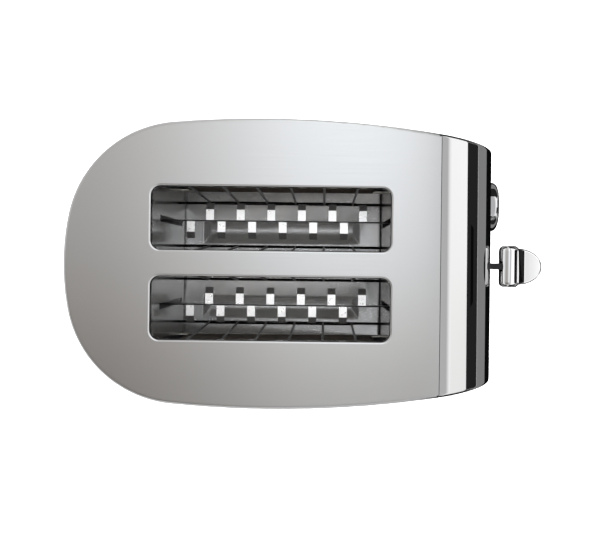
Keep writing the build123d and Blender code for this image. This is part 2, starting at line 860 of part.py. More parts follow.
def make_keeper():
    """The iron strip on the bush that the magnet holds down."""
    low_z = core_top_z + rack_travel + keeper_gap
    half = core_width / 2 + keeper_border
    high_z = low_z + keeper_thickness
    strip = block((rod_x, latch_y - half, low_z), (latch_x + half, latch_y + half, high_z))
    return strip + block((rod_x, latch_y, low_z), (rod_x + bush_half_width, -bush_half_width, high_z))


def make_control_board():
    """The circuit board behind the controls, standing on two posts."""
    return block(
        (board_x, control_board_low_y, plate_foot_z),
        (board_x + control_board_thickness, control_board_high_y, control_board_top_z),
    )


def behind_board(size, place):
    """A box on the back of the circuit board, by its size and its place from the board's near edge."""
    low_y = control_board_low_y + place[0]
    low = (board_x - size[0], low_y, place[1])
    high = (board_x, low_y + size[1], place[1] + size[2])
    return block(low, high)


def make_board_components():
    """Relay, transformer, two capacitors and a chip on the back of the circuit board."""
    pieces = [
        behind_board(relay_size, relay_place),
        behind_board(transformer_size, transformer_place),
        behind_board(chip_size, chip_place),
    ]
    for place in capacitor_places:
        y = control_board_low_y + place
        foot = (board_x, y, capacitor_z)
        pieces.append(rod(capacitor_radius, (board_x - capacitor_height, y, capacitor_z), foot))
    return Compound(children=pieces)


def make_browning_pot():
    """The rotary control on the circuit board, with a threaded neck through the front."""
    low_x = board_x + control_board_thickness
    half = pot_size / 2
    pot = block((low_x, knob_y - half, knob_z - half), (low_x + pot_depth, knob_y + half, knob_z + half))
    pot += control_rod(pot_thread_radius, knob_z, low_x + pot_depth, front_x + pot_nut_thickness)
    return pot - control_rod(shaft_radius + running_clearance, knob_z, low_x + pot_depth / 3, front_x + knob_length)


def make_pot_nut():
    """The nut that holds the rotary control to the front, inside the knob's pocket."""
    plane = Plane.YZ.offset(front_x) * Pos(knob_y, knob_z)
    nut = extrude(plane * RegularPolygon(pot_nut_radius, 6), amount=pot_nut_thickness)
    return nut - control_rod(pot_thread_radius, knob_z, front_x - sheet, front_x + 2 * pot_nut_thickness)


def make_pot_shaft():
    """The shaft that the knob turns."""
    low_x = board_x + control_board_thickness + pot_depth / 2
    return control_rod(shaft_radius, knob_z, low_x, front_x + knob_gap + knob_length - knob_wall_behind)


def make_browning_knob():
    """The smooth browning knob with a rounded front edge, a slight dome and a pointer line."""
    back = knob_gap
    front = back + knob_length
    crown_start = front - knob_crown
    bevel = knob_bevel
    bend = knob_round * (1 - math.sqrt(0.5))
    shoulder = (crown_start - knob_round, knob_radius)
    flat = (crown_start, knob_radius - knob_round)
    edges = Line((back, 0), (back, knob_radius - bevel))
    edges += Line((back, knob_radius - bevel), (back + bevel, knob_radius))
    edges += Line((back + bevel, knob_radius), shoulder)
    edges += ThreePointArc(shoulder, (crown_start - bend, knob_radius - bend), flat)
    edges += ThreePointArc(flat, (front - knob_crown / 4, flat[1] / 2), (front, 0))
    edges += Line((front, 0), (back, 0))
    knob = revolve(make_face(edges), axis=Axis.X)
    knob -= rod(knob_pocket_radius, (0, 0, 0), (back + knob_pocket_depth, 0, 0))
    knob -= rod(shaft_radius, (0, 0, 0), (front - knob_wall_behind, 0, 0))
    half = pointer_width / 2
    pointer = block((front - knob_crown, -half, pointer_start), (front + 1, half, pointer_end))
    return Pos(front_x, knob_y, knob_z) * (knob - pointer)


def make_cancel_button():
    """The round stop button under the knob, with a stem to its switch."""
    face_x = front_x + button_stand_out
    back_x = face_x - button_cap
    cap = control_rod(button_radius, button_z, back_x, face_x)
    cap = fillet(cap.edges().filter_by(GeomType.CIRCLE).sort_by(Axis.X)[-1], button_round)
    stem_end = board_x + control_board_thickness + switch_depth + button_travel + 2 * touch_clearance
    return cap + control_rod(button_stem_radius, button_z, stem_end, back_x)


def make_button_guide():
    """The plastic tube behind the front that the button slides in."""
    high_x = front_x - sheet
    low_x = high_x - button_guide_depth
    bore = button_radius + touch_clearance
    tube = control_rod(bore + button_guide_wall, button_z, low_x, high_x)
    tube -= control_rod(bore, button_z, low_x + button_guide_wall, high_x + 1)
    return tube - control_rod(button_stem_radius + touch_clearance, button_z, low_x - 1, high_x)


def make_cancel_switch():
    """The push switch on the circuit board behind the button."""
    low_x = board_x + control_board_thickness
    half = switch_size / 2
    high_x = low_x + switch_depth - plunger_height
    switch = block((low_x, knob_y - half, button_z - half), (high_x, knob_y + half, button_z + half))
    return switch + control_rod(plunger_radius, button_z, low_x, low_x + switch_depth)


def tray_plan(inset):
    """The crumb tray's outline: straight sides, and a back end that follows the body."""
    low_x = -front_x
    high_x = front_plate_x - tray_front_gap - inset
    half = tray_half_width - inset
    face = outline(handle_depth + inset)
    middle = (low_x + high_x) / 2
    return face & (Pos(middle, 0) * Rectangle(high_x - low_x, 2 * half))


def trough(middle_y, grow, top_z):
    """The space of a shallow trough, steeper on its +Y side, grown by the sheet's thickness outside."""
    rim = Pos(trough_x, middle_y, top_z) * Rectangle(trough_length + 2 * grow, trough_width + 2 * grow)
    floor_face = Rectangle(trough_floor_length + 2 * grow, trough_floor_width + 2 * grow)
    floor_place = Pos(trough_x, middle_y + trough_floor_shift, top_z - trough_depth)
    return loft([rim, floor_place * floor_face], ruled=True)


def make_crumb_tray():
    """The crumb tray, a shallow pan with a pressed trough under each rack."""
    floor_top_z = tray_z + tray_sheet
    tray = Pos(0, 0, tray_z) * extrude(tray_plan(0), amount=tray_rim)
    tray -= Pos(0, 0, floor_top_z) * extrude(tray_plan(tray_sheet), amount=tray_rim)
    for side in (-1, 1):
        tray += trough(side * rack_side - trough_shift, tray_sheet, tray_z)
    for side in (-1, 1):
        tray -= trough(side * rack_side - trough_shift, 0, floor_top_z)
    return tray


def make_crumb_tray_handle():
    """The tray's handle: a piece of the back wall with a finger scoop under it."""
    low_z = shell_z + handle_gap
    ring = slab(0, low_z, handle_top_z - low_z) - slab(handle_depth, low_z, handle_top_z - low_z)
    handle = ring & block((-front_x, -tray_half_width, 0), (-front_x / 2, tray_half_width, top_z))
    scoop_half = handle_scoop_half_width
    return handle - rod(handle_scoop_radius, (-front_x, -scoop_half, low_z), (-front_x, scoop_half, low_z))


def make_cord_bushing():
    """The bushing that the mains lead would pass through, in the left shoulder of the wall."""
    direction = inlet_direction()
    face = inlet_place()
    bushing = rod(inlet_flange, face - direction * sheet, face + direction * inlet_flange_thickness)
    bushing += rod(inlet_neck - running_clearance, face - direction * inlet_depth, face)
    wall = slab(0, 0, top_z) - inlet_column(inlet_neck - running_clearance)
    return (bushing - inlet_column(inlet_bore)) - wall


def terminal_corners():
    """The corners of the mains terminal block."""
    low = (terminal_x - terminal_length / 2, terminal_y - terminal_width / 2, shell_z)
    high = (terminal_x + terminal_length / 2, terminal_y + terminal_width / 2, shell_z + terminal_height)
    return low, high


def make_terminal_block():
    """The mains terminal block, with three screws' wells."""
    low, high = terminal_corners()
    body = block(low, high)
    for index in range(terminal_wells):
        x = low[0] + terminal_length * (index + 0.5) / terminal_wells
        body -= rod(well_radius, (x, terminal_y, high[2] - well_depth), (x, terminal_y, high[2] + 1))
    return body


def make_internal_leads():
    """Two leads, one above the other, from the terminal block along the left wall to the circuit board."""
    leads = []
    start_x = terminal_corners()[1][0]
    end_x = board_x + control_board_thickness / 2
    for index in (0, 1):
        z = shell_z + collar_height + lead_lift + index * lead_spacing
        corner = (end_x, terminal_y, z)
        path = FilletPolyline((start_x, terminal_y, z), corner, (end_x, control_board_low_y, z), radius=lead_bend)
        section = Plane(origin=path @ 0, z_dir=path % 0) * Circle(lead_radius)
        leads.append(sweep(section, path=path))
    return Compound(children=leads)


def build_parts():
    """Every sub-part by its name."""
    parts = {
        "top_panel": make_top_panel(),
        "front_fascia": make_front_fascia(),
        "body_wrap": make_body_wrap(),
        "base_pan": make_base_pan(),
        "rubber_feet": make_rubber_feet(),
        "base_screws": make_base_screws(),
        "rear_oven_plate": make_oven_plate(rear_plate_x - sheet),
        "front_oven_plate": make_oven_plate(front_plate_x),
        "left_reflector": make_reflector(-1),
        "right_reflector": make_reflector(1),
        "left_heater_board": make_heater_board(-heater_pitch),
        "centre_heater_board": make_heater_board(0),
        "right_heater_board": make_heater_board(heater_pitch),
        "left_heater_winding": make_heater_winding(-heater_pitch),
        "centre_heater_winding": make_heater_winding(0),
        "right_heater_winding": make_heater_winding(heater_pitch),
        "left_slot_outer_guard": make_guard(0),
        "left_slot_inner_guard": make_guard(1),
        "right_slot_inner_guard": make_guard(2),
        "right_slot_outer_guard": make_guard(3),
        "left_bread_rack": make_bread_rack(-rack_side),
        "right_bread_rack": make_bread_rack(rack_side),
        "rear_rack_link": make_rear_rack_link(),
        "carriage_plate": make_carriage_plate(),
        "carriage_bush": make_carriage_bush(),
        "guide_rod": make_guide_rod(),
        "rod_bracket": make_rod_bracket(),
        "lift_spring": make_lift_spring(),
        "lever_arm": make_lever_arm(),
        "lever_knob": make_lever_knob(),
        "lever_slot_liner": make_lever_slot_liner(),
        "latch_core": make_latch_core(),
        "latch_coil": make_latch_coil(),
        "latch_keeper": make_keeper(),
        "control_board": make_control_board(),
        "board_components": make_board_components(),
        "browning_pot": make_browning_pot(),
        "pot_nut": make_pot_nut(),
        "pot_shaft": make_pot_shaft(),
        "browning_knob": make_browning_knob(),
        "cancel_button": make_cancel_button(),
        "button_guide": make_button_guide(),
        "cancel_switch": make_cancel_switch(),
        "crumb_tray": make_crumb_tray(),
        "crumb_tray_handle": make_crumb_tray_handle(),
        "cord_bushing": make_cord_bushing(),
        "terminal_block": make_terminal_block(),
        "internal_leads": make_internal_leads(),
    }
    return parts


def placed(shape):
    """The sub-part moved along X to the origin, solid by solid."""
    solids = [Pos(-middle_x, 0, 0) * solid for solid in shape.solids()]
    if len(solids) == 1:
        return solids[0]
    return Compound(children=solids)


for name, shape in build_parts().items():
    export_step(placed(shape), f"parts/{name}.step")
    print(name, round(shape.volume, 1))
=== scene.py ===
"""A two-slot toaster with a satin steel top, a polished rolled front and a chromed lever."""

import json
import math

import bpy
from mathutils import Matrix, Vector


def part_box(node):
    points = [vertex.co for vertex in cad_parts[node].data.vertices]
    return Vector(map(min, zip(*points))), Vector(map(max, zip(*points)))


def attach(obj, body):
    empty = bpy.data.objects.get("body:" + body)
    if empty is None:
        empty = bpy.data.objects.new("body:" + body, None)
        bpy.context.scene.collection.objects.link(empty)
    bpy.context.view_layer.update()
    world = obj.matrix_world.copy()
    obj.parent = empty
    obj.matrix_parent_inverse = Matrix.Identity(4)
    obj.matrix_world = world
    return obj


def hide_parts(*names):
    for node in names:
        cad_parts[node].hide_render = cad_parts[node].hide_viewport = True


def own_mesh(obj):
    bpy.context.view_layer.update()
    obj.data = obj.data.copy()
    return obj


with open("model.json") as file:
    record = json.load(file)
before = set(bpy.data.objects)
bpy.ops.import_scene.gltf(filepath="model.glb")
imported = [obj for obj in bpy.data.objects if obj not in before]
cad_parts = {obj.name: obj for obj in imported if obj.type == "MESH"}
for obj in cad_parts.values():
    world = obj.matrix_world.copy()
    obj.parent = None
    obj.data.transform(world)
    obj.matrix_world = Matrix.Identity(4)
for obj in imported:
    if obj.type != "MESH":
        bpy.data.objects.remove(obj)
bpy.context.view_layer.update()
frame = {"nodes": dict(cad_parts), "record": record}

bl_info = {
    "name": "Two-slot toaster",
    "version": (1, 0, 0),
    "blender": (4, 5, 0),
    "location": "View3D > Sidebar > Toaster",
    "description": "Dresses the toaster's frame with its finishes, floor, lamps, cards and camera",
    "category": "Object",
}

MM = 0.001
TOP_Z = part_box("top_panel")[1][2]
FRONT_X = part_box("front_fascia")[1][0]
BACK_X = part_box("top_panel")[0][0]
CREASE_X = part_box("front_fascia")[0][0]

# The photograph: its size and the point straight under the camera, in pixels, and a pixel's size on the panel
PHOTO_WIDTH = 600
PHOTO_HEIGHT = 540
PLUMB_PIXEL = (325, 261)
PIXEL_SIZE = 0.6 * MM

# Where the photograph was taken from, and how far the camera was turned about its own axis
PLUMB_FROM_FRONT = 105.4 * MM
PLUMB_Y = 2.1 * MM
CAMERA_ABOVE_TOP = 520 * MM
CAMERA_PLACE = (FRONT_X - PLUMB_FROM_FRONT, PLUMB_Y, TOP_Z + CAMERA_ABOVE_TOP)
CAMERA_ROLL = math.radians(0.7)
CAMERA_CLIP_START = 10 * MM
SENSOR_WIDTH = 36.0

# How close two corners are merged, and the angle from which an edge stays sharp
MERGE_DISTANCE = 0.004 * MM
SHARP_ANGLE = math.radians(28)

# The part of a noise's range that most of its values lie in, and how strong its finer detail is
NOISE_LOW = 0.3
NOISE_HIGH = 0.7
NOISE_ROUGHNESS = 0.55

# How much the roughness of a moulded surface varies, and between which values of the noise its patches fade
MOULDED_VARIATION = 0.05
PATCH_LOW = 0.42
PATCH_HIGH = 0.62

# The top panel's tongue under the front, which gets painted shade: how far it starts behind the crease, and
# how far down it is painted dark as shade
TONGUE_BEHIND_CREASE = 1.5 * MM
TONGUE_SHADE_BELOW_TOP = 0.1 * MM

# The part of the top panel that holds the slots, and how far under the panel their rolled edges are still
# bright and from where they are painted dark as shade
SLOTS_BACK_X = BACK_X + 48 * MM
SLOTS_SIDE_Y = 50 * MM
EDGE_SHADE_STARTS = 0.35 * MM
EDGE_SHADE_FULL = 0.7 * MM

# A bread rack: how far its strip stands from the middle of the toaster, how far each way the strip is painted
# dark as shade, how far from the strip a tab's flat reaches and its tip's painted shade starts, and how
# strong the tip's painted shade is
RACK_Y = (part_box("right_bread_rack")[0][1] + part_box("right_bread_rack")[1][1]) / 2
WEB_HALF = 0.5 * MM
TAB_FLAT = 7.9 * MM
TIP_START = TAB_FLAT + 0.1 * MM
TIP_SHADE_STRENGTH = 0.9

# How the soft box over the toaster looks in the steel: the place on it from the camera, in metres, the grey
# of the photograph along X and its warmth, then how much brighter or darker it is across Y and its warmth
OVERHEAD_ALONG = (
    (-0.46, 147, 0.03), (-0.397, 148, 0.03), (-0.344, 160, 0.02), (-0.291, 169, 0.01), (-0.22, 184, 0.0),
    (-0.132, 202, -0.01), (-0.079, 216, -0.03), (-0.03, 221, -0.03), (0.097, 224, -0.03), (0.132, 216, -0.03),
    (0.2, 200, -0.02), (0.26, 236, 0.0), (0.615, 240, 0.0),
)
OVERHEAD_ACROSS = (
    (-0.35, 0.47, 0.04), (-0.21, 0.57, 0.04), (-0.139, 0.7, 0.04), (-0.069, 0.85, 0.03), (0.0, 1.0, 0.0),
    (0.108, 1.12, 0.0), (0.25, 1.24, 0.0),
)
ALONG_RANGE = (-0.6, 0.8)
ACROSS_RANGE = (-0.5, 0.5)
BRIGHTEST_ACROSS = 1.4

# Before the toaster the soft box evens out across Y: from where to where along X, in metres, and by how much
EVEN_FROM = 0.2
EVEN_TO = 0.4
EVEN_SHARE = 0.8

# The grey card over the front: the share of its length along X, and the grey of the photograph there
GREY_CARD_SHADE = ((-0.5, 172), (0.06, 172), (0.16, 194), (0.35, 231), (0.5, 240))

# How much of a light the steel gives back
STEEL_REFLECTANCE = 0.775

# The studio's cards, in metres: each one's low and high corner
OVERHEAD_BOX = ((-1.8, -1.8, 1.2), (2.4, 1.8, 1.2))
GREY_CARD = ((CREASE_X + 0.042, -0.6, 0.5), (CREASE_X + 0.175, 0.6, 0.5))
BLACK_CARDS = {
    "upright_black_card": ((1.2, -0.5, 0.147), (1.2, 0.5, 0.735)),
    "left_black_card": ((FRONT_X, -0.25, 0.115), (FRONT_X + 0.37, -0.25, 0.32)),
    "right_black_card": ((FRONT_X, 0.25, 0.115), (FRONT_X + 0.37, 0.25, 0.32)),
}
DARKER_CARDS = {
    "floor_black_card": ((FRONT_X + 0.03, -0.2, 0.001), (FRONT_X + 0.262, 0.2, 0.001)),
    "lever_black_card": ((FRONT_X + 0.082, -0.03, 0.215), (FRONT_X + 0.169, 0.03, 0.215)),
}

# The soft lamps, in metres: name, place, size, and share of the lamp level; all aim at a point in the toaster
LAMPS = (
    ("soft_lamp_above", (FRONT_X - PLUMB_FROM_FRONT, PLUMB_Y, 1.15), 0.6, 2.8),
    ("soft_lamp_left", (-0.5, 0.7, 1.1), 0.9, 1.0),
    ("soft_lamp_right", (0.6, -0.6, 1.2), 0.9, 0.8),
)
LAMPS_AIM = (0, 0, 0.1)

# The floor's width, and how far before the toaster its reflection turns from pale to grey, in metres
FLOOR_SIZE = 8.0
FLOOR_FADE = 0.03


def linear(hex_colour):
    """A colour written as sRGB hex, as linear red, green, blue and alpha."""
    channels = [int(hex_colour[i:i + 2], 16) / 255 for i in (1, 3, 5)]
    return [c / 12.92 if c <= 0.04045 else ((c + 0.055) / 1.055) ** 2.4 for c in channels] + [1.0]


def linear_grey(level):
    """The linear value of an sRGB grey from 0 to 255."""
    return linear(f"#{level:02x}{level:02x}{level:02x}")[0]


def add_node(owner, kind, settings=None, **inputs):
    """Adds a shader node to a material or world, sets its own settings, and sets or links its inputs by name.

    An input written as _0 or _6 is the one at that place in the node's list.
    """
    tree = owner.node_tree
    node = tree.nodes.new(kind)
    for name, value in (settings or {}).items():
        setattr(node, name, value)
    for name, value in inputs.items():
        key = int(name[1:]) if name[0] == "_" else name.replace("_", " ")
        if isinstance(value, bpy.types.NodeSocket):
            tree.links.new(value, node.inputs[key])
        else:
            node.inputs[key].default_value = value
    return node


def new_material(name):
    """An empty node material."""
    material = bpy.data.materials.new(name)
    material.use_nodes = True
    material.node_tree.nodes.clear()
    return material


def finish_material(material, shader):
    """Links the last shader to the material's output."""
    add_node(material, "ShaderNodeOutputMaterial", Surface=shader)
    return material


def object_axes(material):
    """A point's X, Y and Z on the object's own axes."""
    place = add_node(material, "ShaderNodeTexCoord")
    return add_node(material, "ShaderNodeSeparateXYZ", Vector=place.outputs["Object"]).outputs


def calculate(material, operation, *values):
    """One step of arithmetic in a material."""
    inputs = {f"_{place}": value for place, value in enumerate(values)}
    return add_node(material, "ShaderNodeMath", {"operation": operation}, **inputs).outputs["Value"]


def map_range(material, value, low, high, at_low=0.0, at_high=1.0):
    """A value moved from one range to another, and held at the ends."""
    return add_node(
        material, "ShaderNodeMapRange", _0=value, _1=low, _2=high, _3=at_low, _4=at_high
    ).outputs["Result"]


def mix_colours(owner, share, first, second, blend="MIX"):
    """Two linear colours mixed by a share from 0 to 1."""
    settings = {"data_type": "RGBA", "blend_type": blend}
    return add_node(owner, "ShaderNodeMix", settings, _0=share, _6=first, _7=second).outputs[2]


def stretched_noise(material, size, detail=3.0):
    """A noise whose blobs are size millimetres long on each axis, on Object coordinates."""
    place = add_node(material, "ShaderNodeTexCoord")
    scale = [1 / (length * MM) for length in size]
    mapped = add_node(material, "ShaderNodeMapping", Vector=place.outputs["Object"], Scale=scale)
    return add_node(
        material, "ShaderNodeTexNoise", Vector=mapped.outputs["Vector"], Scale=1.0, Detail=detail,
        Roughness=NOISE_ROUGHNESS,
    ).outputs["Fac"]


def add_bump(material, height, depth, **inputs):
    """A surface normal bumped by a height, depth millimetres deep."""
    return add_node(
        material, "ShaderNodeBump", Strength=1.0, Distance=depth * MM, Height=height, **inputs
    ).outputs["Normal"]


def metal(name, colour, roughness, grain, depth, variation=0.04, wander=None, wander_depth=0.0, dulled=0.0):
    """A bare metal.

    grain is the length of its surface grain on each axis and depth how deep that is, both in millimetres.
    variation is how far its roughness varies each way.
    wander is the size of a slow unevenness of the sheet and wander_depth how deep it is, both in millimetres.
    dulled is the share of the surface that is matt, from heat, crumbs or its finish.
    """
    material = new_material(name)
    noise = stretched_noise(material, grain)
    varied = map_range(
        material, noise, NOISE_LOW, NOISE_HIGH, max(0.0, roughness - variation), roughness + variation
    )
    normal = add_bump(material, noise, depth)
    if wander:
        slow = stretched_noise(material, wander, detail=1.0)
        normal = add_bump(material, slow, wander_depth, Normal=normal)
    shader = add_node(
        material, "ShaderNodeBsdfPrincipled", Base_Color=linear(colour), Metallic=1.0 - dulled,
        Roughness=varied, Normal=normal,
    )
    return finish_material(material, shader.outputs["BSDF"])


def colour_by(material, share, first_colour, second_colour):
    """Turns a finish from its first colour to its second by a share from 0 to 1."""
    mixed = mix_colours(material, share, linear(first_colour), linear(second_colour))
    shader = next(node for node in material.node_tree.nodes if node.type == "BSDF_PRINCIPLED")
    material.node_tree.links.new(mixed, shader.inputs["Base Color"])


def moulded(name, colour, roughness, texture, depth, second_colour=None, spots=0.0, sheen=0.0):
    """A moulded, pressed or woven surface: texture is the size of its surface grain in millimetres.

    second_colour shows in patches of the size of spots, in millimetres.
    """
    material = new_material(name)
    noise = stretched_noise(material, (texture,) * 3)
    varied = map_range(
        material, noise, NOISE_LOW, NOISE_HIGH, roughness - MOULDED_VARIATION, roughness + MOULDED_VARIATION
    )
    shader = add_node(
        material, "ShaderNodeBsdfPrincipled", Base_Color=linear(colour), Roughness=varied,
        Normal=add_bump(material, noise, depth), Sheen_Weight=sheen,
    )
    if second_colour:
        patches = stretched_noise(material, (spots,) * 3, detail=4.0)
        colour_by(material, map_range(material, patches, PATCH_LOW, PATCH_HIGH), colour, second_colour)
    return finish_material(material, shader.outputs["BSDF"])


def select_only(piece):
    """Leaves one object selected and active."""
    bpy.ops.object.select_all(action="DESELECT")
    piece.select_set(True)
    bpy.context.view_layer.objects.active = piece


def body_of_node(node_name):
    """The body that a node of the frame belongs to."""
    for body, nodes in frame["record"]["behaviour"]["bodies"].items():
        if node_name in nodes:
            return body
    raise ValueError(f"no body holds {node_name}")


def paint(piece, material):
    """Gives a piece one material."""
    piece.data.materials.clear()
    piece.data.materials.append(material)


def paint_node(node_name, material):
    """Gives a node of the frame its finish."""
    paint(frame["nodes"][node_name], material)


def smooth_copy(node_name, piece_name, material):
    """A merged and smoothly shaded copy of a node, which stands for it."""
    source = frame["nodes"][node_name]
    piece = source.copy()
    piece.data = source.data.copy()
    piece.name = piece_name
    piece.data.name = piece_name
    bpy.context.scene.collection.objects.link(piece)
    select_only(piece)
    bpy.ops.object.mode_set(mode="EDIT")
    bpy.ops.mesh.select_all(action="SELECT")
    bpy.ops.mesh.remove_doubles(threshold=MERGE_DISTANCE)
    bpy.ops.object.mode_set(mode="OBJECT")
    bpy.ops.object.shade_smooth_by_angle(angle=SHARP_ANGLE)
    weigh = piece.modifiers.new("flat faces first", "WEIGHTED_NORMAL")
    weigh.keep_sharp = True
    bpy.ops.object.modifier_apply(modifier=weigh.name)
    paint(piece, material)
    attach(piece, body_of_node(node_name))
    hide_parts(node_name)
    return piece


def satin_stainless():
    """Stainless steel sheet, satin rolled: a soft grey mirror with a faint grain along its length.

    Its tongue under the front's edge and the slots' edges below the panel are darkened with painted shade, as
    in the photograph.
    """
    material = metal(
        "satin_stainless_top", "#e4e4e4", 0.2, grain=(60.0, 0.5, 0.5), depth=0.0006, variation=0.03
    )
    axes = object_axes(material)
    # Painted shade: the tongue under the front and the slots' rolled edges below the panel are painted near
    # black
    ahead = calculate(material, "GREATER_THAN", axes["X"], CREASE_X - TONGUE_BEHIND_CREASE)
    under = calculate(material, "LESS_THAN", axes["Z"], TOP_Z - TONGUE_SHADE_BELOW_TOP)
    tongue = calculate(material, "MULTIPLY", ahead, under)
    edge = map_range(material, axes["Z"], TOP_Z - EDGE_SHADE_FULL, TOP_Z - EDGE_SHADE_STARTS, 1.0, 0.0)
    inside = calculate(material, "LESS_THAN", calculate(material, "ABSOLUTE", axes["Y"]), SLOTS_SIDE_Y)
    along = calculate(material, "GREATER_THAN", axes["X"], SLOTS_BACK_X)
    slots = calculate(material, "MULTIPLY", inside, along)
    slot_edge_painted_shade = calculate(material, "MULTIPLY", edge, slots)
    colour_by(material, calculate(material, "MAXIMUM", tongue, slot_edge_painted_shade), "#e4e4e4", "#0c0c0c")
    return material


def polished_stainless():
    """Stainless steel sheet, mirror polished: sharp reflections that wander a little with the sheet."""
    return metal(
        "polished_stainless_front", "#e4e4e4", 0.03, grain=(14.0, 14.0, 14.0), depth=0.0004, variation=0.01,
        wander=(60.0, 90.0, 60.0), wander_depth=0.05,
    )


def brushed_wall_steel():
    """Stainless steel sheet, brushed round the body: soft streaks that run level."""
    return metal(
        "brushed_stainless_wall", "#dcdcdc", 0.28, grain=(40.0, 40.0, 0.45), depth=0.002, variation=0.05
    )


def rack_steel():
    """Bright steel strip whose upright web and bent tips are painted dark as shade, between and past the
    flats.
    """
    material = metal("bright_rack_strip", "#ffffff", 0.3, grain=(2.0, 2.0, 2.0), depth=0.002, dulled=0.2)
    # Painted shade: the upright web and the bent tips past the flats are painted dark
    across = calculate(material, "ABSOLUTE", object_axes(material)["Y"])
    aside = calculate(material, "ABSOLUTE", calculate(material, "SUBTRACT", across, RACK_Y))
    web = calculate(material, "LESS_THAN", aside, WEB_HALF)
    tip = calculate(material, "GREATER_THAN", aside, TIP_START)
    tip_painted_shade = calculate(material, "MULTIPLY", tip, TIP_SHADE_STRENGTH)
    colour_by(material, calculate(material, "MAXIMUM", web, tip_painted_shade), "#ffffff", "#2c2b2a")
    return material


class ToasterFinishes(bpy.types.PropertyGroup):
    """Light levels of the scene."""

    floor_light: bpy.props.FloatProperty(
        name="Floor light", description="How much light the floor sends to the camera by itself", default=0.55
    )
    lamp_level: bpy.props.FloatProperty(
        name="Lamp level", description="Strength of a soft lamp with a share of 1, in watts", default=9.0
    )


class TOASTER_OT_outer_shells(bpy.types.Operator):
    """Finishes the top panel, the rolled front and the wall round the sides and back."""

    bl_idname = "toaster.outer_shells"
    bl_label = "Outer shells"

    def execute(self, context):
        smooth_copy("top_panel", "top_panel_sheet", satin_stainless())
        smooth_copy("front_fascia", "front_fascia_sheet", polished_stainless())
        smooth_copy("body_wrap", "body_wall_sheet", brushed_wall_steel())
        return {"FINISHED"}


class TOASTER_OT_base(bpy.types.Operator):
    """Finishes the base, the feet, the screws, the tray's handle and the inlet's bushing."""

    bl_idname = "toaster.base"
    bl_label = "Base and feet"

    def execute(self, context):
        plastic = moulded("black_heatproof_plastic", "#1c1c1e", 0.42, texture=0.8, depth=0.012)
        rubber = moulded("black_foot_rubber", "#151515", 0.75, texture=0.6, depth=0.02)
        zinc = metal("zinc_plated_screws", "#b9bcc2", 0.32, grain=(1.0, 1.0, 1.0), depth=0.004)
        smooth_copy("base_pan", "base_moulding", plastic)
        smooth_copy("crumb_tray_handle", "tray_handle_moulding", plastic)
        smooth_copy("rubber_feet", "moulded_feet", rubber)
        smooth_copy("cord_bushing", "inlet_bushing", rubber)
        smooth_copy("base_screws", "cross_head_screws", zinc)
        return {"FINISHED"}


class TOASTER_OT_oven(bpy.types.Operator):
    """Finishes the oven's end walls, reflectors, heaters, wire guards, racks and crumb tray."""

    bl_idname = "toaster.oven"
    bl_label = "Oven"

    def execute(self, context):
        self.finish_sheets()
        self.finish_heaters()
        self.finish_wires_and_racks()
        self.finish_tray()
        return {"FINISHED"}

    def finish_sheets(self):
        """The end walls and the reflectors."""
        aluminised = metal(
            "aluminised_oven_steel", "#a8a8a8", 0.16, grain=(3.0, 3.0, 3.0), depth=0.002, variation=0.05,
            wander=(25.0, 25.0, 25.0), wander_depth=0.1, dulled=0.2,
        )
        bright = metal(
            "bright_reflector_steel", "#c4c4c4", 0.26, grain=(3.0, 3.0, 3.0), depth=0.003, variation=0.06,
            wander=(30.0, 30.0, 30.0), wander_depth=0.12, dulled=0.3,
        )
        for name in ("rear_oven_plate", "front_oven_plate"):
            paint_node(name, aluminised)
        for name in ("left_reflector", "right_reflector"):
            paint_node(name, bright)

    def finish_heaters(self):
        """The mica boards and the wire wound on them."""
        nichrome = metal(
            "oxidised_nichrome_wire", "#6f6862", 0.45, grain=(2.0, 2.0, 2.0), depth=0.006, variation=0.1
        )
        mica = moulded(
            "pressed_mica_board", "#a3a19b", 0.4, texture=2.0, depth=0.01,
            second_colour="#b9b6ae", spots=9.0,
        )
        for side in ("left", "centre", "right"):
            paint_node(f"{side}_heater_board", mica)
            smooth_copy(f"{side}_heater_winding", f"{side}_heater_wire", nichrome)

    def finish_wires_and_racks(self):
        """The four wire guards and the two bread racks."""
        wire = metal("plated_guard_wire", "#2a2a2a", 0.3, grain=(2.0, 2.0, 2.0), depth=0.004, variation=0.08)
        rack = rack_steel()
        for name in ("left_slot_outer", "left_slot_inner", "right_slot_inner", "right_slot_outer"):
            smooth_copy(f"{name}_guard", f"{name}_guard_wires", wire)
        for side in ("left", "right"):
            paint_node(f"{side}_bread_rack", rack)

    def finish_tray(self):
        """The crumb tray's pan."""
        tray = metal(
            "bright_tray_steel", "#dcdcdc", 0.24, grain=(6.0, 6.0, 6.0), depth=0.0003, variation=0.03,
            wander=(40.0, 40.0, 40.0), wander_depth=0.05, dulled=0.12,
        )
        smooth_copy("crumb_tray", "crumb_tray_pan", tray)


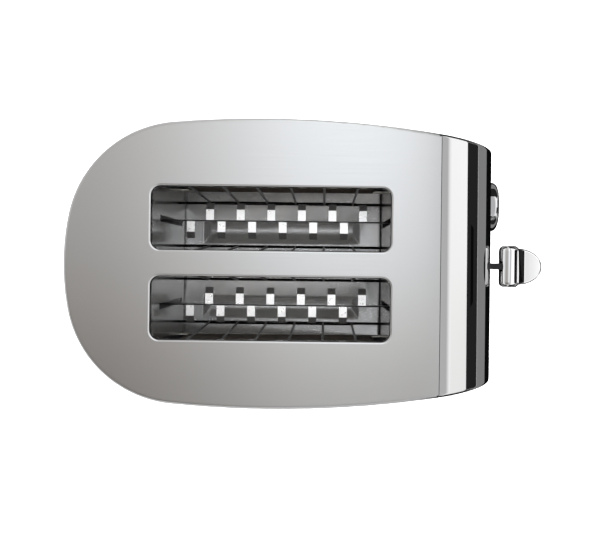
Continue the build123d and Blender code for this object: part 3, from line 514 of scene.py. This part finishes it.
class TOASTER_OT_carriage(bpy.types.Operator):
    """Finishes the carriage, its rod and bracket, the lever's arm and the catch."""

    bl_idname = "toaster.carriage"
    bl_label = "Carriage"

    def execute(self, context):
        zinc = metal(
            "zinc_plated_carriage", "#a9acb2", 0.3, grain=(4.0, 4.0, 4.0), depth=0.004, variation=0.08
        )
        blackened = metal(
            "blackened_lever_steel", "#3a3a3c", 0.3, grain=(4.0, 4.0, 4.0), depth=0.004, variation=0.08
        )
        nylon = moulded("natural_nylon_bush", "#e4e1d6", 0.4, texture=1.2, depth=0.006)
        ground = metal("ground_steel_rod", "#c9c9cc", 0.12, grain=(6.0, 6.0, 0.4), depth=0.002)
        iron = metal("soft_iron", "#7d7d80", 0.45, grain=(1.2, 1.2, 1.2), depth=0.01, variation=0.1)
        copper = metal(
            "enamelled_copper_coil", "#b4683a", 0.28, grain=(30.0, 30.0, 0.5), depth=0.05, variation=0.05
        )
        for name in ("rear_rack_link", "carriage_plate", "rod_bracket"):
            paint_node(name, zinc)
        smooth_copy("lever_arm", "lever_crank", blackened)
        smooth_copy("carriage_bush", "sliding_bush", nylon)
        smooth_copy("guide_rod", "ground_rod", ground)
        for name in ("latch_core", "latch_keeper"):
            paint_node(name, iron)
        smooth_copy("latch_coil", "magnet_winding", copper)
        return {"FINISHED"}


class TOASTER_OT_lift_spring(bpy.types.Operator):
    """Finishes the lift spring and gives it a mesh of its own."""

    bl_idname = "toaster.lift_spring"
    bl_label = "Lift spring"

    def execute(self, context):
        steel = metal("oiled_spring_wire", "#7c7d82", 0.25, grain=(1.5, 1.5, 1.5), depth=0.003)
        spring = smooth_copy("lift_spring", "lift_spring_coil", steel)
        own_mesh(spring)
        return {"FINISHED"}


class TOASTER_OT_controls(bpy.types.Operator):
    """Finishes the lever's knob, the browning knob, the stop button and what is behind them."""

    bl_idname = "toaster.controls"
    bl_label = "Controls"

    def execute(self, context):
        self.finish_outside()
        self.finish_inside()
        return {"FINISHED"}

    def finish_outside(self):
        """The lever's knob, the browning knob, the stop button and the black border behind the lever."""
        chrome = metal(
            "chromed_lever", "#fafafa", 0.04, grain=(20.0, 20.0, 20.0), depth=0.0004, variation=0.02
        )
        knob = metal("chromed_knob", "#e4e4e6", 0.05, grain=(20.0, 20.0, 20.0), depth=0.0004, variation=0.02)
        black = moulded("black_slot_border", "#1a1a1b", 0.4, texture=0.8, depth=0.01)
        smooth_copy("lever_knob", "lever_thumb_knob", chrome)
        smooth_copy("browning_knob", "browning_dial", knob)
        smooth_copy("cancel_button", "stop_button_cap", knob)
        smooth_copy("lever_slot_liner", "lever_slot_border", black)
        smooth_copy("button_guide", "button_sleeve", black)

    def finish_inside(self):
        """The rotary control, the circuit board and its components, the switch, terminals and leads."""
        steel = metal("turned_steel", "#b9b9bd", 0.2, grain=(1.0, 8.0, 8.0), depth=0.003)
        laminate = moulded(
            "paper_laminate_board", "#8a6a2c", 0.45, texture=1.5, depth=0.006,
            second_colour="#7c5c22", spots=6.0,
        )
        cases = moulded("black_component_cases", "#202124", 0.35, texture=0.8, depth=0.006)
        white = moulded("white_terminal_ceramic", "#e9e6dc", 0.35, texture=1.0, depth=0.006)
        braid = moulded("glass_braid_sleeve", "#dedbcf", 0.85, texture=0.5, depth=0.08, sheen=0.3)
        smooth_copy("pot_nut", "control_nut", steel)
        smooth_copy("pot_shaft", "control_shaft", steel)
        paint_node("control_board", laminate)
        smooth_copy("board_components", "board_parts", cases)
        smooth_copy("browning_pot", "rotary_control", cases)
        smooth_copy("cancel_switch", "push_switch", cases)
        smooth_copy("terminal_block", "mains_terminals", white)
        smooth_copy("internal_leads", "sleeved_leads", braid)


def stage_card(name, corners, material):
    """A flat card of the studio between two corners that share an X, a Y or a Z; only reflections see it."""
    low, high = corners
    middle = [(low[i] + high[i]) / 2 for i in range(3)]
    size = [high[i] - low[i] for i in range(3)]
    turn, scale = (0, 0, 0), (size[0], size[1], 1.0)
    if size[0] == 0:
        turn, scale = (0, math.pi / 2, 0), (size[2], size[1], 1.0)
    elif size[1] == 0:
        turn, scale = (math.pi / 2, 0, 0), (size[0], size[2], 1.0)
    bpy.ops.object.select_all(action="DESELECT")
    bpy.ops.mesh.primitive_plane_add(size=1.0, location=middle, rotation=turn)
    card = bpy.context.active_object
    card.name = name
    card.scale = scale
    card.data.materials.append(material)
    card.visible_camera = False
    card.visible_diffuse = False
    card.visible_shadow = False
    card.visible_transmission = False
    card.visible_volume_scatter = False


def plain_light(name, colour):
    """A surface of the studio that gives an even light."""
    material = new_material(name)
    light = add_node(material, "ShaderNodeEmission", Color=linear(colour), Strength=1.0)
    return finish_material(material, light.outputs["Emission"])


def level_ramp(material, source, low, high, stops):
    """A smooth level along a length: stops are (place in metres, level from 0 to 1, warmth of the light)."""
    ramp = add_node(material, "ShaderNodeValToRGB", Fac=map_range(material, source, low, high))
    elements = ramp.color_ramp.elements
    for _ in stops[2:]:
        elements.new(0.5)
    for element, (place, level, warmth) in zip(elements, stops):
        element.position = (place - low) / (high - low)
    for element, (place, level, warmth) in zip(elements, stops):
        element.color = (level * (1 + warmth), level, level * (1 - warmth), 1.0)
    return ramp.outputs["Color"]


def overhead_light():
    """The soft box's light: how bright the steel under it looks along X and across Y in the photograph."""
    material = new_material("overhead_soft_box")
    axes = object_axes(material)
    low, high = OVERHEAD_BOX
    along, across = [
        calculate(
            material, "MULTIPLY_ADD", axes[name], high[i] - low[i], (high[i] + low[i]) / 2 - CAMERA_PLACE[i]
        )
        for i, name in enumerate("XY")
    ]
    by_x = [(x, linear_grey(level), warmth) for x, level, warmth in OVERHEAD_ALONG]
    by_y = [(y, level / BRIGHTEST_ACROSS, warmth) for y, level, warmth in OVERHEAD_ACROSS]
    level_x = level_ramp(material, along, *ALONG_RANGE, by_x)
    level_y = level_ramp(material, across, *ACROSS_RANGE, by_y)
    even = map_range(material, along, EVEN_FROM, EVEN_TO, 0.0, EVEN_SHARE)
    evened = mix_colours(material, even, level_y, (1 / BRIGHTEST_ACROSS,) * 3 + (1.0,))
    product = mix_colours(material, 1.0, level_x, evened, blend="MULTIPLY")
    light = add_node(
        material, "ShaderNodeEmission", Color=product, Strength=BRIGHTEST_ACROSS / STEEL_REFLECTANCE
    )
    return finish_material(material, light.outputs["Emission"])


def grey_card_light():
    """A grey that fades to the soft box's white, for the band on the roll beside the crease."""
    material = new_material("grey_card")
    by_x = [(x, linear_grey(level), 0.0) for x, level in GREY_CARD_SHADE]
    level = level_ramp(material, object_axes(material)["X"], -0.5, 0.5, by_x)
    light = add_node(material, "ShaderNodeEmission", Color=level, Strength=1 / STEEL_REFLECTANCE)
    return finish_material(material, light.outputs["Emission"])


class TOASTER_OT_stage(bpy.types.Operator):
    """Makes the floor, the studio's lamps and cards, the world and the camera."""

    bl_idname = "toaster.stage"
    bl_label = "Floor, lamps and camera"

    def execute(self, context):
        finishes = context.scene.toaster_finishes
        self.add_floor(finishes)
        self.add_cards()
        self.add_lamps(finishes)
        self.add_world()
        self.add_camera()
        context.scene.view_settings.view_transform = "Standard"
        return {"FINISHED"}

    def add_floor(self, finishes):
        """A plain white floor that keeps the shadow; the steel sees it pale, and grey before the toaster."""
        bpy.ops.object.select_all(action="DESELECT")
        bpy.ops.mesh.primitive_plane_add(size=FLOOR_SIZE, location=(0, 0, 0))
        floor = bpy.context.active_object
        floor.name = "studio_floor"
        material = new_material("white_studio_floor")
        matt = add_node(material, "ShaderNodeBsdfDiffuse", Color=linear("#e6e6e6"))
        level = finishes.floor_light
        lift = add_node(material, "ShaderNodeEmission", Color=linear("#ffffff"), Strength=level)
        seen = add_node(material, "ShaderNodeAddShader", _0=matt.outputs["BSDF"], _1=lift.outputs["Emission"])
        before = map_range(material, object_axes(material)["X"], FRONT_X, FRONT_X + FLOOR_FADE)
        tone = mix_colours(material, before, linear("#d0d0d0"), linear("#8a8a8a"))
        mirror = add_node(material, "ShaderNodeEmission", Color=tone, Strength=1.0)
        rays = add_node(material, "ShaderNodeLightPath")
        shader = add_node(
            material, "ShaderNodeMixShader", _0=rays.outputs["Is Glossy Ray"], _1=seen.outputs["Shader"],
            _2=mirror.outputs["Emission"],
        )
        floor.data.materials.append(finish_material(material, shader.outputs["Shader"]))

    def add_cards(self):
        """The soft box above, the grey card, and the black cards before the toaster."""
        stage_card("overhead_box", OVERHEAD_BOX, overhead_light())
        stage_card("grey_low_card", GREY_CARD, grey_card_light())
        black = plain_light("black_card", "#262626")
        for name, corners in BLACK_CARDS.items():
            stage_card(name, corners, black)
        darker = plain_light("black_floor_card", "#0c0c0c")
        for name, corners in DARKER_CARDS.items():
            stage_card(name, corners, darker)

    def add_lamps(self, finishes):
        """Three large soft lamps that reflections don't see."""
        for name, place, size, share in LAMPS:
            lamp_data = bpy.data.lights.new(name, "AREA")
            lamp_data.energy = finishes.lamp_level * share
            lamp_data.size = size
            lamp = bpy.data.objects.new(name, lamp_data)
            bpy.context.scene.collection.objects.link(lamp)
            lamp.location = place
            aim = Vector(LAMPS_AIM) - Vector(place)
            lamp.rotation_euler = aim.to_track_quat("-Z", "Y").to_euler()
            lamp.visible_glossy = False

    def add_world(self):
        """An even pale sky, white where the camera looks straight at it."""
        world = bpy.data.worlds.new("pale_studio")
        bpy.context.scene.world = world
        world.use_nodes = True
        world.node_tree.nodes.clear()
        rays = add_node(world, "ShaderNodeLightPath")
        tone = mix_colours(world, rays.outputs["Is Camera Ray"], linear("#d4d4d4"), linear("#ffffff"))
        sky = add_node(world, "ShaderNodeBackground", Color=tone, Strength=1.0)
        add_node(world, "ShaderNodeOutputWorld", Surface=sky.outputs["Background"])

    def add_camera(self):
        """The camera that looks straight down, as the photograph does."""
        camera_data = bpy.data.cameras.new("photo_camera")
        camera = bpy.data.objects.new("photo_camera", camera_data)
        bpy.context.scene.collection.objects.link(camera)
        camera.location = CAMERA_PLACE
        camera.rotation_euler = (0, 0, CAMERA_ROLL)
        camera_data.sensor_fit = "HORIZONTAL"
        camera_data.sensor_width = SENSOR_WIDTH
        camera_data.lens = SENSOR_WIDTH * CAMERA_ABOVE_TOP / (PHOTO_WIDTH * PIXEL_SIZE)
        camera_data.shift_x = (PHOTO_WIDTH / 2 - PLUMB_PIXEL[0]) / PHOTO_WIDTH
        camera_data.shift_y = (PLUMB_PIXEL[1] - PHOTO_HEIGHT / 2) / PHOTO_WIDTH
        camera_data.clip_start = CAMERA_CLIP_START
        bpy.context.scene.camera = camera


class TOASTER_PT_panel(bpy.types.Panel):
    """Lists the toaster's operators."""

    bl_idname = "TOASTER_PT_panel"
    bl_label = "Toaster"
    bl_space_type = "VIEW_3D"
    bl_region_type = "UI"
    bl_category = "Toaster"

    def draw(self, context):
        finishes = context.scene.toaster_finishes
        self.layout.prop(finishes, "floor_light")
        self.layout.prop(finishes, "lamp_level")
        for operator in OPERATORS:
            self.layout.operator(operator.bl_idname)


OPERATORS = (
    TOASTER_OT_outer_shells,
    TOASTER_OT_base,
    TOASTER_OT_oven,
    TOASTER_OT_carriage,
    TOASTER_OT_lift_spring,
    TOASTER_OT_controls,
    TOASTER_OT_stage,
)
CLASSES = (ToasterFinishes, *OPERATORS, TOASTER_PT_panel)


def register():
    """Registers the classes and the scene's settings."""
    for cls in CLASSES:
        bpy.utils.register_class(cls)
    bpy.types.Scene.toaster_finishes = bpy.props.PointerProperty(type=ToasterFinishes)


def unregister():
    """Removes the classes and the scene's settings."""
    del bpy.types.Scene.toaster_finishes
    for cls in reversed(CLASSES):
        bpy.utils.unregister_class(cls)


def main():
    """Makes every piece in order."""
    register()
    bpy.ops.toaster.outer_shells()
    bpy.ops.toaster.base()
    bpy.ops.toaster.oven()
    bpy.ops.toaster.carriage()
    bpy.ops.toaster.lift_spring()
    bpy.ops.toaster.controls()
    bpy.ops.toaster.stage()


if __name__ == "__main__":
    main()
